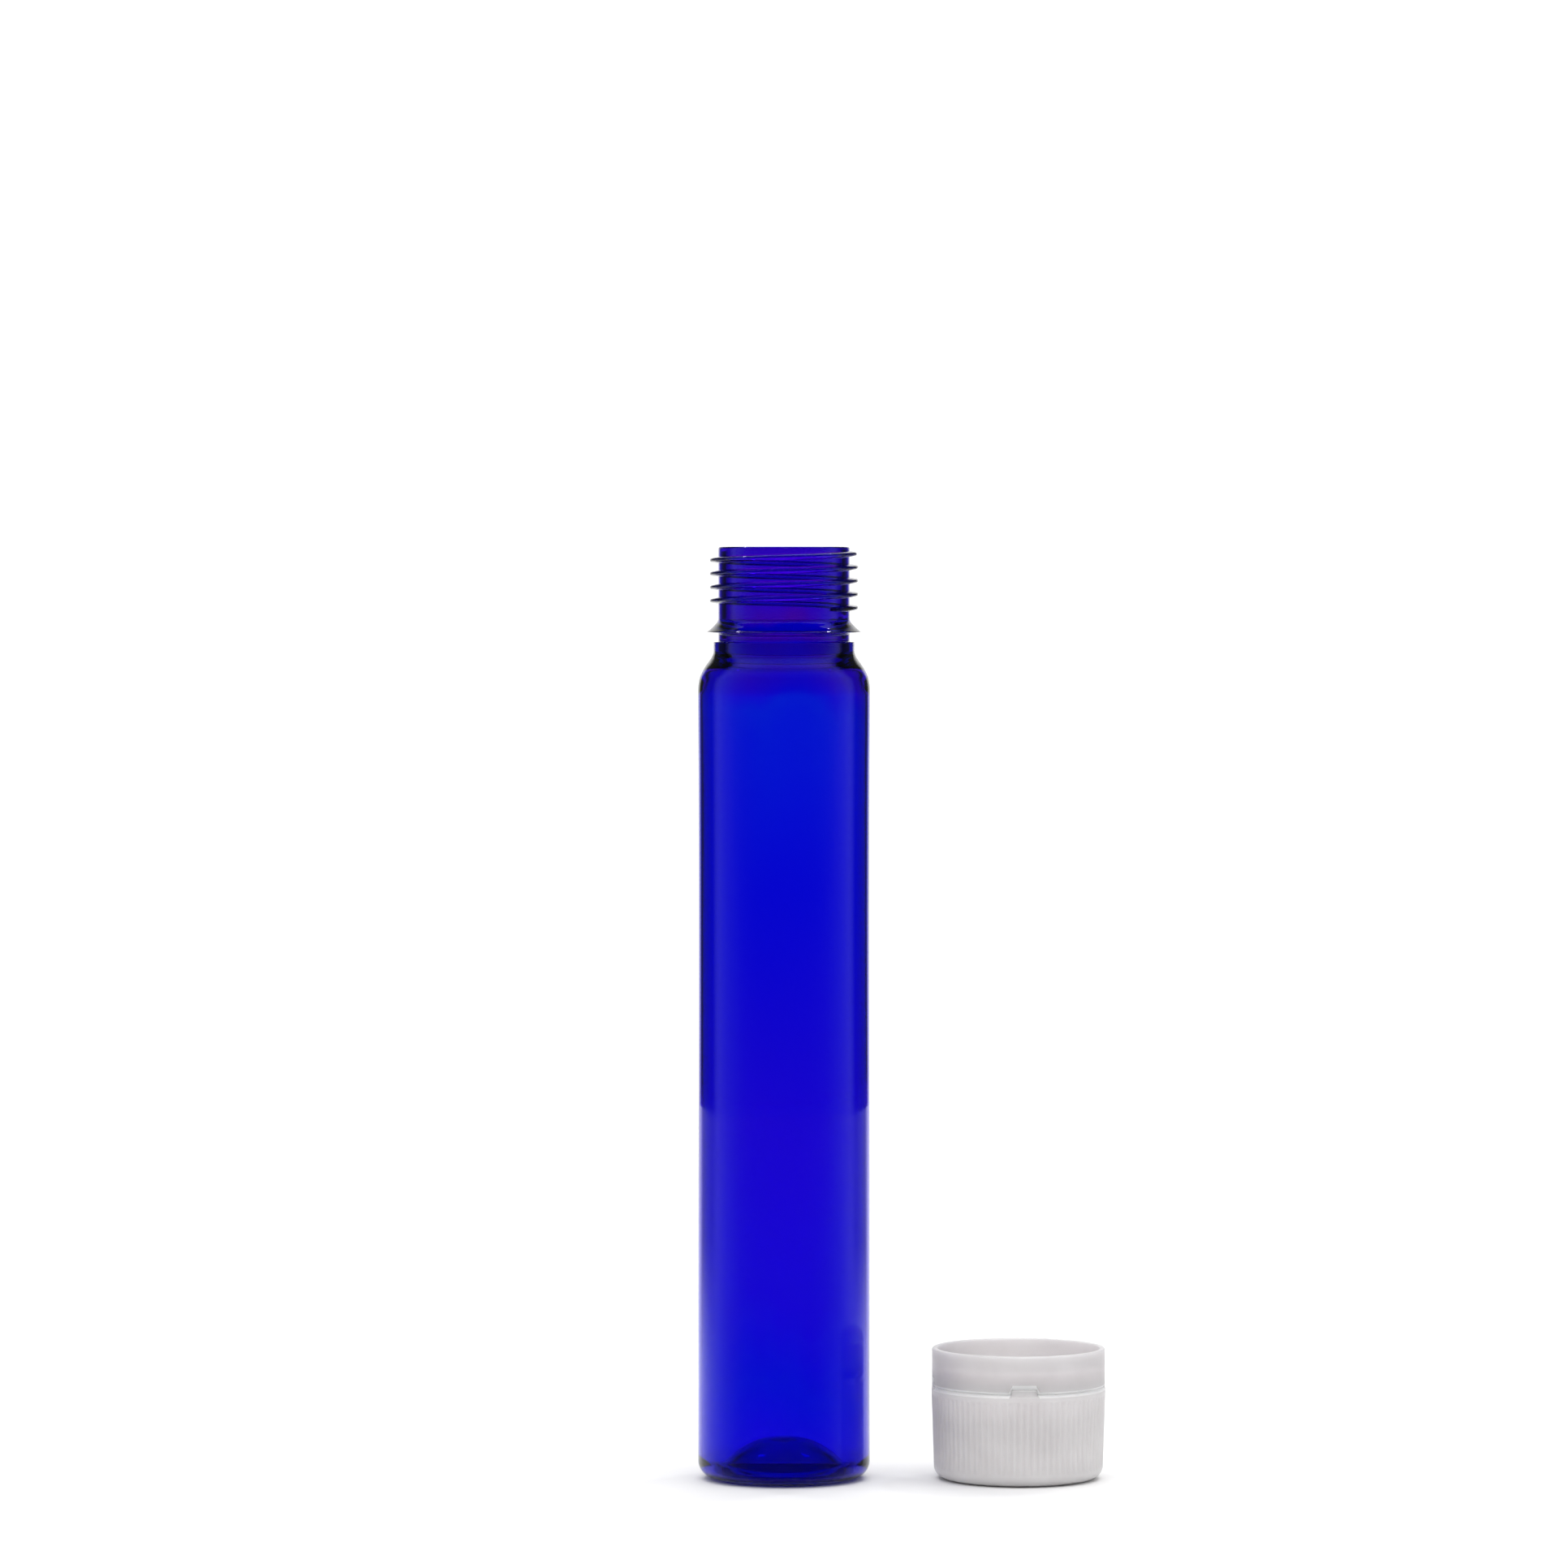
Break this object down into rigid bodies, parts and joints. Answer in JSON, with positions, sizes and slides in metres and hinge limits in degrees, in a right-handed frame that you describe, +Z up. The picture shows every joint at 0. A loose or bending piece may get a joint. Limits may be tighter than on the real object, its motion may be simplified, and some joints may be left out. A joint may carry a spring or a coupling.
{
  "type": "screw-neck tube with cap",
  "caption": "Transparent blue plastic tube with a screw-thread neck and pushed-up base, beside its milky screw cap with an attached tamper-evident band.",
  "frame": {"origin": "on the tube's axis, at the plane that its base stands on", "axes": "+Z up along the tube's axis to its neck; +X towards the cap that stands beside it; -Y is the front"},
  "size_m": [0.0758, 0.0324, 0.173],
  "materials": {
    "tube_blue": "clear, glossy, cobalt-blue tinted polyester",
    "cap_milky": "undyed, milky, slightly see-through polypropylene, satin",
    "liner_foam": "off-white fine-celled foam sheet"
  },
  "bodies": {
    "tube": {"tube": "tube_blue"},
    "cap_carry": {"band_bridges": "cap_milky"},
    "cap_travel": {"sealing_liner": "liner_foam"},
    "cap_turn": {"cap_shell": "cap_milky"},
    "band_release": {"tamper_band": "cap_milky"}
  },
  "joints": [
    {"name": "cap_carry", "type": "hinge", "parent": "tube", "child": "cap_carry", "pos_m": [0.0218, 0, 0.104], "axis": [0, -1, 0], "range_deg": [0, 180]},
    {"name": "cap_travel", "type": "slide", "parent": "cap_carry", "child": "cap_travel", "axis": [0, 0, 1], "range_m": [0, 0.0325], "deforming": ["band_bridges"]},
    {"name": "cap_turn", "type": "hinge", "parent": "cap_travel", "child": "cap_turn", "pos_m": [0.0436, 0, 0.012], "axis": [0, 0, 1], "range_deg": [0, 4680]},
    {"name": "band_release", "type": "slide", "parent": "cap_turn", "child": "band_release", "axis": [0, 0, 1], "range_m": [0, 0.0006], "deforming": ["band_bridges"]}
  ],
  "couplings": [
    {"joint": "cap_travel", "follows": "cap_turn", "m_per_rad": 0.00039789}
  ]
}
